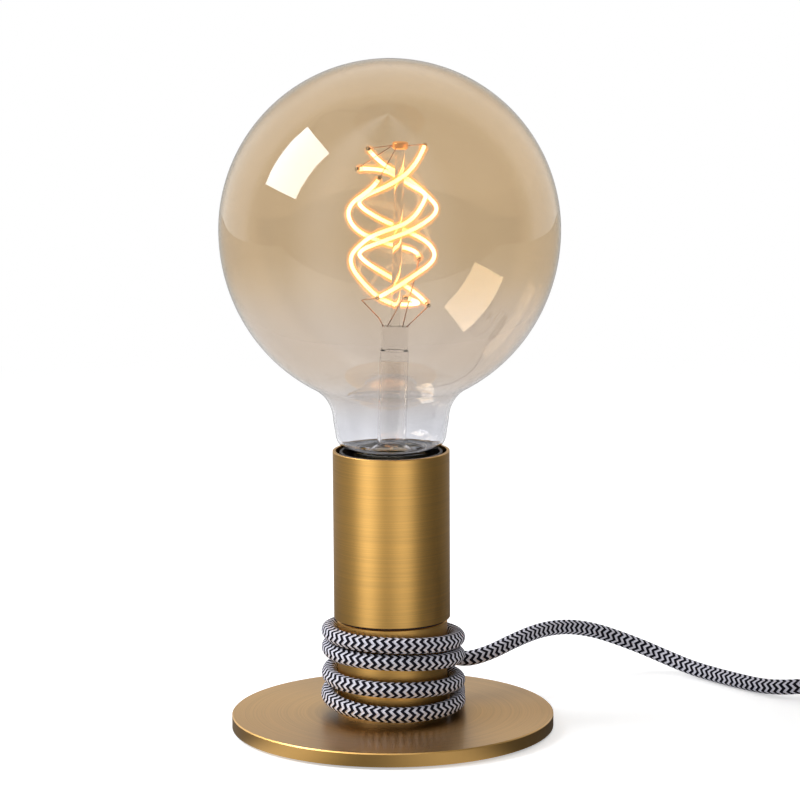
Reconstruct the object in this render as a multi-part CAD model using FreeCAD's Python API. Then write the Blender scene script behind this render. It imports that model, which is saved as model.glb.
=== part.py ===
"""Bare bulb table lamp: a large clear globe bulb in a brushed brass tube on a flat brass disc.

Millimetres, +Z up. The origin is the middle of the underside of the base pad, so z = 0 is the
table top. The front of the lamp faces -Y, and the cord leaves the stem at the back, +Y.
"""

import FreeCAD
import Part
import math
import os
from FreeCAD import Vector

os.makedirs("parts", exist_ok=True)

# --- clearances -------------------------------------------------------------------------------
seat_gap = 0.3          # a moving piece or a soft one to what it lies against
slip_gap = 0.1          # two pieces that slide together
screw_gap = 0.05        # a screw, a pin or a rivet in its hole

# --- base disc --------------------------------------------------------------------------------
pad_thickness = 0.8
pad_inset = 3.0
base_radius = 60.0
base_thickness = 5.0
base_chamfer = 0.4
base_screw_radius = 1.25
base_screw_head = 2.5
base_screw_length = 11.0
base_screw_count = 3

# --- stem -------------------------------------------------------------------------------------
stem_radius = 20.5
stem_height = 35.5
stem_wall = 4.5
stem_top_plate = 3.0
stem_chamfer = 0.3

# --- cord outlet in the stem's wall, and the clamp behind it ----------------------------------
outlet_azimuth = 120.0  # degrees round from +X, seen from above
outlet_skew = 25.0      # degrees that the hole leans off the radial line
outlet_height = 4.8     # of the hole's axis above the base plate
grommet_wall = 1.3
grommet_proud = 0.8
clamp_depth = 17.0      # of the clamp's middle inside the outlet, along the cord
clamp_length = 6.0
clamp_width = 12.4
clamp_cap = 2.0
clamp_screw_radius = 1.1
clamp_screw_head = 2.0
clamp_screw_head_height = 1.2
clamp_screw_bite = 3.0
clamp_screw_spacing = 9.0
sheath_depth = 21.5     # of the sheath's cut end inside the outlet

# --- spacer and lamp tube ---------------------------------------------------------------------
spacer_thickness = 0.8
spacer_inset = 1.5
tube_radius = 21.6
tube_height = 62.8
tube_wall = 1.1
tube_floor = 2.0
tube_rim_round = 0.25

# --- threaded pipe that clamps stem, spacer, tube and lampholder ------------------------------
pipe_radius = 5.0
pipe_bore = 3.75
pipe_reach = 9.5        # up into the lampholder
pipe_tail = 1.0         # below the nut
nut_across_flats = 14.0
nut_thickness = 4.0
nut_chamfer = 0.8
washer_radius = 9.0
washer_thickness = 1.0

# --- lampholder -------------------------------------------------------------------------------
holder_radius = 19.05
holder_base_height = 13.6
holder_base_bore = 15.85
holder_floor = 3.0
holder_boss_radius = 8.0
holder_boss_height = 8.0
holder_collar_height = 5.0
skirt_wall = 1.1
skirt_rim_drop = 0.4    # of the skirt's rim below the glass shoulder
skirt_rim_round = 0.35
skirt_rib_height = 1.5
skirt_rib_reach = 1.2
lock_screw_radius = 1.5
lock_screw_proud = 1.0
insert_radius = 17.3
insert_thickness = 12.0
insert_wall_radius = 16.2
insert_wall_height = 8.5
insert_seat_radius = 10.6
insert_seat_height = 4.8

# --- lampholder terminals and contacts --------------------------------------------------------
terminal_reach = 9.8    # of a terminal's middle from the lamp's axis
terminal_length = 6.0
terminal_width = 9.0
terminal_height = 7.0
terminal_recess = 1.0   # of the terminal's foot inside the insert
terminal_roof = 2.0     # solid metal above the wire's hole
terminal_offset = 2.4   # wire hole behind the middle, screw in front of it
terminal_screw_radius = 1.25
terminal_screw_head = 2.25
terminal_screw_head_height = 1.6
terminal_screw_proud = 1.2
contact_height = 3.0    # of the centre contact above the insert
contact_thickness = 0.5
contact_width = 6.0
contact_foot = 4.0
contact_rivet_radius = 0.9
contact_rivet_reach = 8.0
contact_flat = 4.6      # length of the strip's level top

# --- screw thread of bulb and lampholder ------------------------------------------------------
thread_pitch = 3.629
thread_core_radius = 12.1
thread_crest_radius = 13.1
thread_root_width = 1.6
thread_crest_width = 0.9
ridge_sink = 0.2        # of a ridge's root in its shell
shell_wall = 0.5
shell_height = 20.5
shell_flange = 2.8
shell_turns = 3.9
shell_thread_start = 4.6
cap_turns = 4.1
cap_thread_start = 3.4

# --- bulb cap ---------------------------------------------------------------------------------
cap_height = 27.0       # from the tip of the contact to the bottom of the glass shoulder
cap_wall = 0.4
cap_tip_height = 3.0    # of the cap shell's lower edge above the tip
cap_taper = 2.0
cap_lip_radius = 10.2
cap_collar_radius = 13.4
cap_collar_height = 3.4
cap_collar_taper = 1.2
cap_nose_radius = 9.6
cap_insulator_height = 3.3
cap_contact_radius = 4.8
cap_contact_dome = 0.75
cap_contact_edge = 0.4
cap_pin_radius = 1.5
cap_pin_proud = 0.7
cement_inset = 0.4

# --- glass globe ------------------------------------------------------------------------------
globe_radius = 62.5
globe_stretch = 2.5     # the lower half reaches this much further than half a ball
glass_wall = 0.8
neck_radius = 21.3
neck_foot_radius = 20.5
neck_fillet = 14.0
neck_straight = 4.812   # of the neck, between its shoulder and its fillet
neck_shoulder = 6.5
mouth_radius = 12.5
mouth_depth = 3.6

# --- glass mount and filament -----------------------------------------------------------------
mount_lean = 2.0        # degrees towards +X
mount_tube_radius = 5.3
mount_tube_wall = 0.9
flare_radius = 11.5
flare_height = 5.5
press_bottom = 37.0     # heights above the glass shoulder
press_top = 46.0
press_width = 9.9
press_depth = 4.6
press_root = 4.0        # of the solid glass below the press
round_share = 0.3       # of a thickness that its rounded edges take
glass_rod_radius = 1.7
glass_rod_top = 111.0
anchor_radius = 2.9
anchor_height = 2.8
strand_radius = 0.75
end_cap_radius = 0.9
end_cap_length = 2.2
lead_radius = 0.3
lead_places = (-4.3, -2.8, 2.8, 4.3)    # where the lead wires leave the press
support_radius = 0.16

# Each filament strand is a right-hand helix: azimuth of its top end, degrees per millimetre,
# radius, and the heights of its two ends above the glass shoulder.
STRANDS = {
    "filament_strand_1": dict(azimuth=358.0, twist=9.0, radius=13.6, top=111.0, foot=58.8),
    "filament_strand_2": dict(azimuth=186.0, twist=9.1, radius=13.1, top=111.0, foot=53.4),
    "filament_strand_3": dict(azimuth=128.0, twist=8.4, radius=14.8, top=105.0, foot=55.0),
    "filament_strand_4": dict(azimuth=246.0, twist=5.6, radius=16.8, top=100.5, foot=68.0),
}

# --- driver board in the bulb's cap -----------------------------------------------------------
driver_thickness = 1.2
driver_height = 17.5    # of the board above the contact's tip
driver_wire_radius = 0.35
driver_wire_rise = 2.2
capacitor_radius = 3.2
capacitor_length = 7.0
capacitor_offset = 4.7
bridge_size = 4.6
bridge_thickness = 2.6
bridge_offset = 3.9
choke_radius = 2.2
choke_length = 5.0
choke_place = (4.4, -6.8)

# --- cord -------------------------------------------------------------------------------------
cord_radius = 2.9
core_radius = 1.1
core_spacing = 3.2
core_straight = 3.7     # of the cores beyond the sheath's end
cord_entry = 4.0        # of the cord inside the switch and the plug's strain relief
bend_share = 0.45       # of a straight run that the bend at either end takes
wound_heights = (5.6, 14.3, 24.2, 31.0)   # middle of each turn round the stem, above the base plate
wound_web = 1.6
wound_start = -15.0     # azimuths between which the lowest turn isn't there yet, at the back
wound_lift = 150.0
coil_centre = Vector(190.0, -38.0, 0.0)
coil_radius = 32.0      # middle of its turns, which lie two wide and two high
coil_round = 2.3
tie_thickness = 0.6
tie_width = 8.0

# --- inline switch ----------------------------------------------------------------------------
switch_start = Vector(171.0, 33.0, 6.4)   # where the cord goes in; it lies along +X
switch_length = 62.0
switch_width = 27.0
switch_lower_height = 9.0
switch_upper_height = 8.5
switch_wall = 2.0
switch_corner = 6.0
switch_top_round = 1.2
switch_foot_round = 0.8
rocker_length = 21.0
rocker_width = 11.0
rocker_crown = 2.2      # of its ends above the switch's top
rocker_dip = 0.7        # of its middle above the switch's top
rocker_flat = 1.05      # half the level stretch in its middle
rocker_skirt = 2.0      # of its ends below the switch's top
rocker_heel = 3.2
rocker_round = 0.6
rocker_tilt = 8.0
rocker_axis_drop = 2.6  # of the pin below the switch's top
rocker_pin_radius = 1.2
rocker_pin_wall = 1.5
rocker_lug_length = 7.0
rocker_lug_width = 2.5
switch_screw_radius = 1.5
switch_screw_head = 2.7
switch_screw_head_height = 1.6
switch_screw_depth = 0.6
switch_screw_bite = 5.0
switch_screw_inset = 5.2
switch_screw_offset = 17.0
switch_post_radius = 3.0
switch_contact_offset = 20.5
switch_contact_length = 7.0
switch_contact_width = 5.0
switch_contact_height = 1.0

# --- plug -------------------------------------------------------------------------------------
plug_start = Vector(241.0, -74.0, 6.85)   # where the strain relief meets it; it lies along +X
plug_length = 36.0
plug_taper = 16.2
plug_width = 35.3
plug_thickness = 13.7
plug_neck_width = 14.0
plug_corner = 4.0
plug_round = 2.4
pin_radius = 2.0
pin_neck_radius = 1.5   # of the pin inside its sleeve and the plug
pin_length = 19.0
pin_spacing = 18.6
pin_root = 8.0
pin_round = 1.4
sleeve_radius = 1.9     # of the insulation on a pin's inner half
sleeve_length = 10.0
sleeve_root = 3.0       # of it inside the plug
relief_length = 25.0
relief_root_radius = 5.2
relief_tip_radius = 3.9
relief_grooves = 5
relief_groove_width = 1.6
relief_groove_depth = 0.4

# --- what follows from these ------------------------------------------------------------------
base_bottom = pad_thickness
base_top = base_bottom + base_thickness
stem_top = base_top + stem_height
stem_bore = stem_radius - stem_wall
stem_ceiling = stem_top - stem_top_plate
cord_z = base_top + outlet_height
tube_bottom = stem_top + spacer_thickness
tube_top = tube_bottom + tube_height
pipe_hole = pipe_radius + screw_gap
holder_bottom = tube_bottom + tube_floor
holder_shoulder = holder_bottom + holder_base_height
collar_top = holder_shoulder + holder_collar_height
skirt_bore = holder_radius - skirt_wall
insert_top = collar_top + insert_thickness
terminal_bottom = collar_top + terminal_recess
terminal_top = terminal_bottom + terminal_height
shell_bottom = insert_top + insert_seat_height
shell_bore = thread_crest_radius + seat_gap
shell_radius = shell_bore + shell_wall
tip_z = insert_top + contact_height + seat_gap
shoulder_z = tip_z + cap_height
holder_top = shoulder_z - skirt_rim_drop
cap_bottom = tip_z + cap_tip_height
cap_bore = thread_core_radius - cap_wall
cap_collar_bottom = shoulder_z - cap_collar_height
flare_z = shoulder_z - mouth_depth
board_z = tip_z + driver_height
winding_bore = stem_radius + seat_gap
switch_top = switch_lower_height + switch_upper_height
switch_middle = switch_start + Vector(switch_length / 2, 0, 0)
rocker_pin_z = switch_top - rocker_axis_drop


# --- small helpers ----------------------------------------------------------------------------
def rod(radius, bottom, top, x=0.0, y=0.0):
    """An upright cylinder."""
    return Part.makeCylinder(radius, top - bottom, Vector(x, y, bottom))


def ring(outer, inner, bottom, top, x=0.0, y=0.0):
    """An upright tube."""
    return rod(outer, bottom, top, x, y).cut(rod(inner, bottom, top, x, y))


def block(length, width, bottom, top, x=0.0, y=0.0):
    """An upright box about (x, y)."""
    corner = Vector(x - length / 2, y - width / 2, bottom)
    return Part.makeBox(length, width, top - bottom, corner)


def bar(start, end, radius):
    """A round bar from one point to another."""
    return Part.makeCylinder(radius, start.distanceToPoint(end), start, end - start)


def prism(outline, way):
    """What a flat outline of points sweeps along a vector."""
    return Part.Face(Part.makePolygon(outline + outline[:1])).extrude(way)


def turned_edges(edges):
    """The solid that a closed outline in the XZ plane sweeps about Z."""
    solid = Part.Face(Part.Wire(edges)).revolve(Vector(0, 0, 0), Vector(0, 0, 1), 360)
    return solid if solid.Volume > 0 else solid.reversed()


def turned(*outline):
    """The same, for an outline of straight lines given as (radius, z) pairs."""
    corners = [Vector(r, 0, z) for r, z in outline]
    return turned_edges(Part.makePolygon(corners + corners[:1]).Edges)


def line(a, b):
    return Part.LineSegment(a, b).toShape()


def arc(a, middle, b):
    return Part.Arc(a, middle, b).toShape()


def around(shape, angle, centre=Vector(0, 0, 0)):
    """A copy turned about the vertical through a point."""
    turned_copy = shape.copy()
    turned_copy.rotate(centre, Vector(0, 0, 1), angle)
    return turned_copy


def polar(radius, azimuth, z=0.0):
    """The point at a radius and an azimuth in degrees."""
    angle = math.radians(azimuth)
    return Vector(radius * math.cos(angle), radius * math.sin(angle), z)


def circles_at(shape, z, radius):
    """The full circles of a solid at one height and radius, to round or chamfer."""
    found = []
    for edge in shape.Edges:
        curve = edge.Curve
        if isinstance(curve, Part.Circle) and abs(curve.Radius - radius) < 1e-4:
            if abs(curve.Center.z - z) < 1e-4:
                found.append(edge)
    return found


def uprights(shape):
    """A solid's straight upright edges."""
    return [e for e in shape.Edges if isinstance(e.Curve, Part.Line) and abs(e.Curve.Direction.z) > 0.99]


def edges_level(shape, z):
    """A solid's edges that lie in the level plane at one height."""
    return [e for e in shape.Edges if abs(e.BoundBox.ZMin - z) < 1e-6 and abs(e.BoundBox.ZMax - z) < 1e-6]


def export(name, *solids):
    """One STEP file for one node: a solid, or several alike."""
    shape = solids[0] if len(solids) == 1 else Part.makeCompound(list(solids))
    shape.exportStep(f"parts/{name}.step")


# --- base -------------------------------------------------------------------------------------
def base_screw_places():
    """The screws stand in the middle of the stem's wall, clear of the cord outlet."""
    pitch_radius = stem_radius - stem_wall / 2
    step = 360 / base_screw_count
    return [polar(pitch_radius, outlet_azimuth + step * (k + 0.5)) for k in range(base_screw_count)]


def countersunk_screw(place, gap=0.0):
    """A countersunk screw up through the base; with a gap, the hole that it needs."""
    radius, head = base_screw_radius + gap, base_screw_head + gap
    foot = Vector(place.x, place.y, base_bottom)
    cone = Part.makeCone(head, radius, head - radius, foot)
    return cone.fuse(rod(radius, base_bottom, base_bottom + base_screw_length + gap, place.x, place.y))


def make_base():
    plate = rod(base_radius, base_bottom, base_top)
    for place in base_screw_places():
        plate = plate.cut(countersunk_screw(place, screw_gap))
    for place in clamp_screw_places():
        hole = rod(clamp_screw_radius + screw_gap, base_top - clamp_screw_bite, base_top, place.x, place.y)
        plate = plate.cut(hole)
    export("base_plate", plate.makeChamfer(base_chamfer, circles_at(plate, base_top, base_radius)))
    export("base_pad", rod(base_radius - pad_inset, 0, base_bottom))
    export("base_screws", *[countersunk_screw(place) for place in base_screw_places()])


# --- stem, grommet and cord clamp -------------------------------------------------------------
outlet = polar(stem_radius, outlet_azimuth, cord_z)
outlet_way = polar(1.0, outlet_azimuth - outlet_skew)
grommet_bore = cord_radius + slip_gap
grommet_radius = grommet_bore + grommet_wall


def along_cord(distance, sideways=0.0):
    """A point inside the stem, a distance back along the cord from the outlet."""
    side = Vector(-outlet_way.y, outlet_way.x, 0)
    return outlet - outlet_way * distance + side * sideways


def outlet_bar(radius):
    """A round bar through the stem's wall along the cord."""
    return bar(along_cord(3 * stem_wall), along_cord(-stem_wall), radius)


def clamp_screw_places():
    half = clamp_screw_spacing / 2
    return [along_cord(clamp_depth, sideways) for sideways in (-half, half)]


def make_stem():
    body = rod(stem_radius, base_top, stem_top).cut(rod(stem_bore, base_top, stem_ceiling))
    body = body.cut(rod(pipe_hole, stem_ceiling, stem_top))
    body = body.cut(outlet_bar(grommet_radius + screw_gap))
    for place in base_screw_places():
        body = body.cut(countersunk_screw(place, screw_gap))
    export("stem", body.makeChamfer(stem_chamfer, circles_at(body, stem_top, stem_radius)))


def make_grommet():
    """A rubber bush that follows the curve of the stem's wall, inside and out."""
    wall = ring(stem_radius + grommet_proud, stem_bore - grommet_proud, base_top, stem_top)
    bush = outlet_bar(grommet_radius).cut(outlet_bar(grommet_bore)).common(wall)
    export("stem_grommet", bush.Solids[0])


def make_cord_clamp():
    """A saddle screwed to the base holds the cord's sheath against a bridge below it."""
    middle = along_cord(clamp_depth)
    angle = outlet_azimuth - outlet_skew
    passage_end = along_cord(clamp_depth + clamp_length)
    passage = bar(along_cord(clamp_depth - clamp_length), passage_end, cord_radius + screw_gap)
    saddle_top = cord_z + cord_radius + clamp_cap
    bridge = block(clamp_length, clamp_width, base_top, cord_z, middle.x, middle.y)
    saddle = block(clamp_length, clamp_width, cord_z, saddle_top, middle.x, middle.y)
    bridge = around(bridge, angle, middle).cut(passage)
    saddle = around(saddle, angle, middle).cut(passage)
    screws = []
    for place in clamp_screw_places():
        hole = rod(clamp_screw_radius + screw_gap, base_top, saddle_top, place.x, place.y)
        bridge = bridge.cut(hole)
        saddle = saddle.cut(hole)
        shank = rod(clamp_screw_radius, base_top - clamp_screw_bite, saddle_top, place.x, place.y)
        head = rod(clamp_screw_head, saddle_top, saddle_top + clamp_screw_head_height, place.x, place.y)
        screws.append(shank.fuse(head))
    export("cord_clamp_bridge", bridge)
    export("cord_clamp_saddle", saddle)
    export("cord_clamp_screws", *screws)


# --- spacer, tube and threaded pipe -----------------------------------------------------------
def make_spacer():
    export("spacer_disc", ring(tube_radius - spacer_inset, pipe_hole, stem_top, tube_bottom))


def make_lamp_tube():
    wall = rod(tube_radius, tube_bottom, tube_top)
    wall = wall.cut(rod(tube_radius - tube_wall, holder_bottom, tube_top))
    wall = wall.cut(rod(pipe_hole, tube_bottom, holder_bottom))
    rims = circles_at(wall, tube_top, tube_radius) + circles_at(wall, tube_bottom, tube_radius)
    export("lamp_tube", wall.makeFillet(tube_rim_round, rims))


def make_threaded_pipe():
    washer_bottom = stem_ceiling - washer_thickness
    nut_bottom = washer_bottom - nut_thickness
    pipe_top = holder_bottom + pipe_reach
    export("threaded_pipe", ring(pipe_radius, pipe_bore, nut_bottom - pipe_tail, pipe_top))
    export("pipe_washer", ring(washer_radius, pipe_hole, washer_bottom, stem_ceiling))
    flats = nut_across_flats / 2
    corners = flats / math.cos(math.radians(30))
    nut = prism([polar(corners, 60 * k, nut_bottom) for k in range(6)], Vector(0, 0, nut_thickness))
    chamfered = turned(
        (0, nut_bottom),
        (flats, nut_bottom),
        (corners, nut_bottom + nut_chamfer),
        (corners, washer_bottom),
        (0, washer_bottom),
    )
    export("pipe_nut", nut.common(chamfered).cut(rod(pipe_hole, nut_bottom, washer_bottom)))


# --- lampholder -------------------------------------------------------------------------------
def make_holder_shells():
    """The black base screws onto the pipe, and the skirt onto the base's collar."""
    outer = rod(holder_radius, holder_bottom, holder_shoulder)
    outer = outer.fuse(rod(skirt_bore - slip_gap, holder_shoulder, collar_top))
    boss_top = holder_bottom + holder_floor + holder_boss_height
    base = outer.cut(rod(holder_base_bore, holder_bottom + holder_floor, collar_top))
    base = base.fuse(rod(holder_boss_radius, holder_bottom, boss_top))
    base = base.cut(rod(pipe_hole, holder_bottom, collar_top))
    lock_z = holder_bottom + holder_floor + holder_boss_height / 2
    outside = Vector(0, -holder_radius - lock_screw_radius, lock_z)
    hole = bar(outside, Vector(0, 0, lock_z), lock_screw_radius + screw_gap)
    export("holder_base", base.cut(hole).removeSplitter())
    head = Vector(0, -holder_boss_radius - lock_screw_proud, lock_z)
    export("holder_lock_screw", bar(head, Vector(0, -pipe_hole, lock_z), lock_screw_radius))

    skirt = ring(holder_radius, skirt_bore, holder_shoulder, holder_top)
    rib_bottom = insert_top + slip_gap
    rib_outside = skirt_bore + skirt_wall / 2
    rib = ring(rib_outside, skirt_bore - skirt_rib_reach, rib_bottom, rib_bottom + skirt_rib_height)
    skirt = skirt.fuse(rib)
    rims = circles_at(skirt, holder_top, holder_radius) + circles_at(skirt, holder_top, skirt_bore)
    export("holder_skirt", skirt.makeFillet(skirt_rim_round, rims))


def terminal_pocket(side):
    """The space that one terminal block needs in the insert."""
    length, width = terminal_length + 2 * slip_gap, terminal_width + 2 * slip_gap
    return block(length, width, collar_top, terminal_top + slip_gap, side * terminal_reach)


def side_rivet_x():
    """The side contact's rivet comes up under the flange of the threaded shell."""
    return shell_bore - shell_flange / 2


def make_holder_insert():
    """The white insulator carries the terminals below and the threaded shell above."""
    wall_top = shell_bottom + insert_wall_height
    body = rod(insert_radius, collar_top, insert_top)
    body = body.fuse(rod(insert_wall_radius, insert_top, wall_top))
    body = body.cut(rod(shell_radius + slip_gap, shell_bottom, wall_top))
    body = body.cut(rod(insert_seat_radius, insert_top, shell_bottom))
    for side in (-1, 1):
        body = body.cut(terminal_pocket(side))
    rivet_hole = contact_rivet_radius + screw_gap
    body = body.cut(rod(rivet_hole, terminal_top, insert_top, -contact_rivet_reach))
    body = body.cut(rod(rivet_hole, terminal_top, shell_bottom, side_rivet_x()))
    export("holder_insert", body.removeSplitter())


def make_terminals():
    blocks, screws = [], []
    hole_top = terminal_top - terminal_roof
    head_top = terminal_bottom - terminal_screw_proud
    for side in (-1, 1):
        x = side * terminal_reach
        terminal = block(terminal_length, terminal_width, terminal_bottom, terminal_top, x)
        entry = rod(core_radius + screw_gap, terminal_bottom, hole_top, x, terminal_offset)
        hole = rod(terminal_screw_radius + screw_gap, terminal_bottom, hole_top, x, -terminal_offset)
        blocks.append(terminal.cut(entry).cut(hole))
        shank = rod(terminal_screw_radius, head_top, hole_top - slip_gap, x, -terminal_offset)
        head_bottom = head_top - terminal_screw_head_height
        screws.append(shank.fuse(rod(terminal_screw_head, head_bottom, head_top, x, -terminal_offset)))
    export("terminal_blocks", *blocks)
    export("terminal_screws", *screws)


def make_holder_contacts():
    """The centre contact is a bowed strip on a rivet; the side contact is a rivet alone."""
    tip = insert_top + contact_height
    foot_start = -contact_rivet_reach - contact_foot / 2
    foot_end = foot_start + contact_foot
    flat_start, flat_end = -contact_flat / 2, contact_flat / 2
    front = -contact_width / 2
    profile = [
        Vector(foot_start, front, insert_top),
        Vector(foot_end, front, insert_top),
        Vector(flat_start, front, tip - contact_thickness),
        Vector(flat_end, front, tip - contact_thickness),
        Vector(flat_end, front, tip),
        Vector(flat_start - contact_thickness / 2, front, tip),
        Vector(foot_end - contact_thickness / 2, front, insert_top + contact_thickness),
        Vector(foot_start, front, insert_top + contact_thickness),
    ]
    strip = prism(profile, Vector(0, contact_width, 0))
    rivet_top = insert_top + contact_thickness / 2
    rivet = rod(contact_rivet_radius, terminal_top, rivet_top, -contact_rivet_reach)
    export("centre_contact", strip.fuse(rivet).removeSplitter())
    export("side_contact", rod(contact_rivet_radius, terminal_top, shell_bottom, side_rivet_x()))


# --- screw thread -----------------------------------------------------------------------------
def thread_ridge(root, crest, bottom, turns, offset):
    """A right-hand ridge of trapezium section from the root radius to the crest.

    All ridges lie on one helix about the lamp's axis, half a turn's rise apart for an offset of 0.5.
    """
    helix = Part.makeHelix(thread_pitch, thread_pitch * turns, root)
    sunk = root + math.copysign(ridge_sink, root - crest)
    section = [
        Vector(sunk, 0, -thread_root_width / 2),
        Vector(crest, 0, -thread_crest_width / 2),
        Vector(crest, 0, thread_crest_width / 2),
        Vector(sunk, 0, thread_root_width / 2),
    ]
    ridge = Part.Wire(helix.Edges).makePipeShell([Part.makePolygon(section + section[:1])], True, True)
    phase = 360 * ((bottom - tip_z) / thread_pitch + offset)
    ridge = around(ridge, phase)
    ridge.translate(Vector(0, 0, bottom))
    return ridge


def make_threaded_shell():
    shell = ring(shell_radius, shell_bore, shell_bottom, shell_bottom + shell_height)
    flange = ring(shell_radius, shell_bore - shell_flange, shell_bottom, shell_bottom + shell_wall)
    crest = thread_core_radius + seat_gap
    ridge = thread_ridge(shell_bore, crest, shell_bottom + shell_thread_start, shell_turns, 0.5)
    export("threaded_shell", shell.fuse(flange).fuse(ridge))


# --- bulb -------------------------------------------------------------------------------------
def make_cap_shell():
    """The threaded cap, rolled from thin metal, with a plain collar round the glass."""
    collar_bore = cap_collar_radius - cap_wall
    shell = turned(
        (cap_collar_radius, shoulder_z),
        (cap_collar_radius, cap_collar_bottom),
        (thread_core_radius, cap_collar_bottom - cap_collar_taper),
        (thread_core_radius, cap_bottom + cap_taper),
        (cap_lip_radius, cap_bottom),
        (cap_lip_radius - cap_wall, cap_bottom + cap_wall),
        (cap_bore, cap_bottom + cap_taper + cap_wall / 2),
        (cap_bore, cap_collar_bottom - cap_collar_taper + cap_wall / 2),
        (collar_bore, cap_collar_bottom + cap_wall / 2),
        (collar_bore, shoulder_z),
    )
    start = cap_bottom + cap_thread_start
    ridge = thread_ridge(thread_core_radius, thread_crest_radius, start, cap_turns, 0.0)
    export("cap_shell", shell.fuse(ridge))


def make_cap_insulator():
    """Black glass fills the cap's foot round the centre contact."""
    top = cap_bottom + cap_insulator_height
    bottom = tip_z + cap_contact_dome + cap_contact_edge + screw_gap
    hole = cap_pin_radius + screw_gap
    nose = cap_nose_radius - slip_gap
    insulator = turned(
        (hole, top),
        (cap_bore - slip_gap, top),
        (cap_bore - slip_gap, cap_bottom + cap_taper + 2 * cap_wall),
        (nose, cap_bottom + 2 * cap_wall),
        (nose, cap_bottom - cap_wall),
        (cap_contact_radius + cap_wall, bottom),
        (hole, bottom),
    )
    export("cap_insulator", insulator)


def make_cap_contact():
    """A domed contact with a pin up through the insulator."""
    dome_radius = (cap_contact_radius**2 + cap_contact_dome**2) / (2 * cap_contact_dome)
    half_angle = math.asin(cap_contact_radius / dome_radius) / 2
    centre_z = tip_z + dome_radius
    edge_z = tip_z + cap_contact_dome
    tip = Vector(0, 0, tip_z)
    rim = Vector(cap_contact_radius, 0, edge_z)
    flank = Vector(dome_radius * math.sin(half_angle), 0, centre_z - dome_radius * math.cos(half_angle))
    corners = [
        rim,
        rim + Vector(0, 0, cap_contact_edge),
        Vector(cap_pin_radius, 0, edge_z + cap_contact_edge),
        Vector(cap_pin_radius, 0, cap_bottom + cap_insulator_height + cap_pin_proud),
        Vector(0, 0, cap_bottom + cap_insulator_height + cap_pin_proud),
        tip,
    ]
    edges = [line(a, b) for a, b in zip(corners, corners[1:])]
    export("cap_contact", turned_edges(edges + [arc(tip, flank, rim)]))


def globe_fillet(skin):
    """Where the fillet to the neck leaves the lower half's ellipse: the angle on the ellipse, the
    point and the fillet's centre, from the middle of the globe.
    """
    ball = globe_radius - skin
    drop = globe_radius + globe_stretch - skin
    neck = neck_radius - skin
    fillet = neck_fillet + skin
    low, high = 0.0, math.pi / 2
    while high - low > 1e-12:
        t = (low + high) / 2
        normal = Vector(math.cos(t) / ball, 0, -math.sin(t) / drop).normalize()
        wide = ball * math.cos(t) + normal.x * fillet > neck + fillet
        low, high = (t, high) if wide else (low, t)
    touch = Vector(ball * math.cos(t), 0, -drop * math.sin(t))
    return t, touch, touch + normal * fillet


globe_z = shoulder_z + neck_shoulder + neck_straight - globe_fillet(0.0)[2].z


def globe_blank(skin):
    """The turned form of the globe, shrunk inwards by a skin; it opens into the mouth below."""
    ball = globe_radius - skin
    drop = globe_radius + globe_stretch - skin
    neck = neck_radius - skin
    foot = neck_foot_radius - skin
    fillet = neck_fillet + skin
    middle = Vector(0, 0, globe_z)
    t, touch, centre = globe_fillet(skin)
    touch, centre = middle + touch, middle + centre
    neck_top = Vector(neck, 0, centre.z)
    angle = (math.atan2(touch.z - centre.z, touch.x - centre.x) + math.pi) / 2
    fillet_middle = centre + Vector(math.cos(angle), 0, math.sin(angle)) * fillet

    bend = neck_shoulder - skin
    shoulder_centre = Vector(neck_foot_radius - neck_shoulder, 0, shoulder_z + neck_shoulder)
    neck_foot = Vector(foot, 0, shoulder_centre.z)
    shoulder_end = shoulder_centre - Vector(0, 0, bend)
    shoulder_middle = shoulder_centre + Vector(bend, 0, -bend) * math.sqrt(0.5)
    mouth = mouth_radius - skin
    open_end = flare_z - skin
    top = Vector(0, 0, globe_z + ball)
    crown = Vector(ball * math.sqrt(0.5), 0, globe_z + ball * math.sqrt(0.5))
    equator = Vector(ball, 0, globe_z)
    ellipse = Part.Ellipse(Vector(0, 0, globe_z - drop), equator, Vector(0, 0, globe_z))
    edges = [
        arc(top, crown, equator),
        Part.ArcOfEllipse(ellipse, math.pi / 2 - t, math.pi / 2).toShape(),
        arc(touch, fillet_middle, neck_top),
        line(neck_top, neck_foot),
        arc(neck_foot, shoulder_middle, shoulder_end),
        line(shoulder_end, Vector(mouth, 0, shoulder_end.z)),
        line(Vector(mouth, 0, shoulder_end.z), Vector(mouth, 0, open_end)),
        line(Vector(mouth, 0, open_end), Vector(0, 0, open_end)),
        line(Vector(0, 0, open_end), top),
    ]
    return turned_edges(edges)


def make_globe():
    """The blown glass, and the ring of cement that holds its mouth in the cap."""
    outside, inside = globe_blank(0.0), globe_blank(glass_wall)
    export("globe", outside.cut(inside))
    cement_radius = cap_collar_radius - cap_wall - slip_gap
    cement_bottom = cap_collar_bottom + cement_inset
    export("cap_cement", ring(cement_radius, mouth_radius + slip_gap, cement_bottom, shoulder_z - slip_gap))


# --- mount and filament -----------------------------------------------------------------------
def leaned(shape):
    """The mount stands a little crooked in the neck."""
    crooked = shape.copy()
    crooked.rotate(Vector(0, 0, flare_z), Vector(0, 1, 0), mount_lean)
    return crooked


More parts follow.
